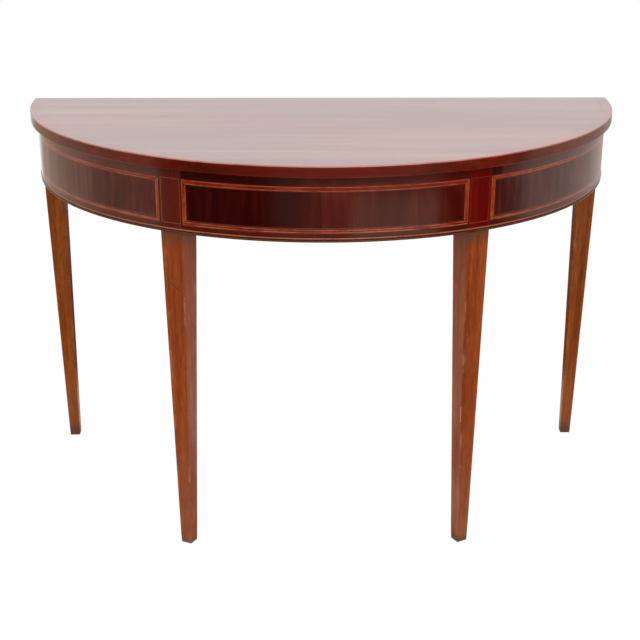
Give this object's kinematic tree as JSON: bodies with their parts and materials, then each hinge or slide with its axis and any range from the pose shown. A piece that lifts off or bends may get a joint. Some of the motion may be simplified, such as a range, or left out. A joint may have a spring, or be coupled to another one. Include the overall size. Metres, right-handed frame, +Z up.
{
  "type": "demilune table",
  "caption": "Half-round side table with a solid top, a curved veneered frieze with inlaid banded panels, and square tapered legs, made to stand against a wall.",
  "frame": {"origin": "on the floor, under the middle of the box that holds the table", "axes": "+Z up, +X to the right along the straight back edge, +Y from the curved front to the back"},
  "size_m": [1.16, 0.588, 0.742],
  "materials": {
    "top_mahogany": "french polished mahogany, grain along the back edge",
    "leg_mahogany": "waxed mahogany, grain along the leg",
    "panel_veneer": "polished dark flame mahogany veneer",
    "border_veneer": "polished dark mahogany cross-grain veneer",
    "die_veneer": "polished red mahogany veneer",
    "banding": "polished orange satinwood and tulipwood banding",
    "stringing": "polished boxwood line",
    "bead": "polished mahogany bead",
    "carcase_pine": "bare aged pine",
    "peg_oak": "bare oak",
    "screw_iron": "dull iron with light rust"
  },
  "bodies": {
    "root": {"back_left_die": "die_veneer", "back_left_leg": "leg_mahogany", "back_left_stringing": "stringing", "back_rail": "carcase_pine", "back_right_die": "die_veneer", "back_right_leg": "leg_mahogany", "back_right_stringing": "stringing", "centre_band_bottom": "banding", "centre_band_left": "banding", "centre_band_right": "banding", "centre_band_top": "banding", "centre_bead": "bead", "centre_bearer": "carcase_pine", "centre_lower_border": "border_veneer", "centre_panel": "panel_veneer", "centre_upper_border": "border_veneer", "core_bottom_1": "carcase_pine", "core_bottom_2": "carcase_pine", "core_bottom_3": "carcase_pine", "core_bottom_4": "carcase_pine", "core_bottom_5": "carcase_pine", "core_middle_1": "carcase_pine", "core_middle_2": "carcase_pine", "core_middle_3": "carcase_pine", "core_middle_4": "carcase_pine", "core_top_1": "carcase_pine", "core_top_2": "carcase_pine", "core_top_3": "carcase_pine", "core_top_4": "carcase_pine", "core_top_5": "carcase_pine", "frieze_blocks": "carcase_pine", "front_left_die": "die_veneer", "front_left_leg": "leg_mahogany", "front_left_stringing": "stringing", "front_right_die": "die_veneer", "front_right_leg": "leg_mahogany", "front_right_stringing": "stringing", "left_band_bottom": "banding", "left_band_left": "banding", "left_band_right": "banding", "left_band_top": "banding", "left_bead": "bead", "left_lower_border": "border_veneer", "left_panel": "panel_veneer", "left_upper_border": "border_veneer", "rail_blocks": "carcase_pine", "rail_pegs": "peg_oak", "right_band_bottom": "banding", "right_band_left": "banding", "right_band_right": "banding", "right_band_top": "banding", "right_bead": "bead", "right_lower_border": "border_veneer", "right_panel": "panel_veneer", "right_upper_border": "border_veneer", "top_back_board": "top_mahogany", "top_front_board": "top_mahogany", "top_middle_board": "top_mahogany", "top_screws": "screw_iron"}
  },
  "joints": []
}
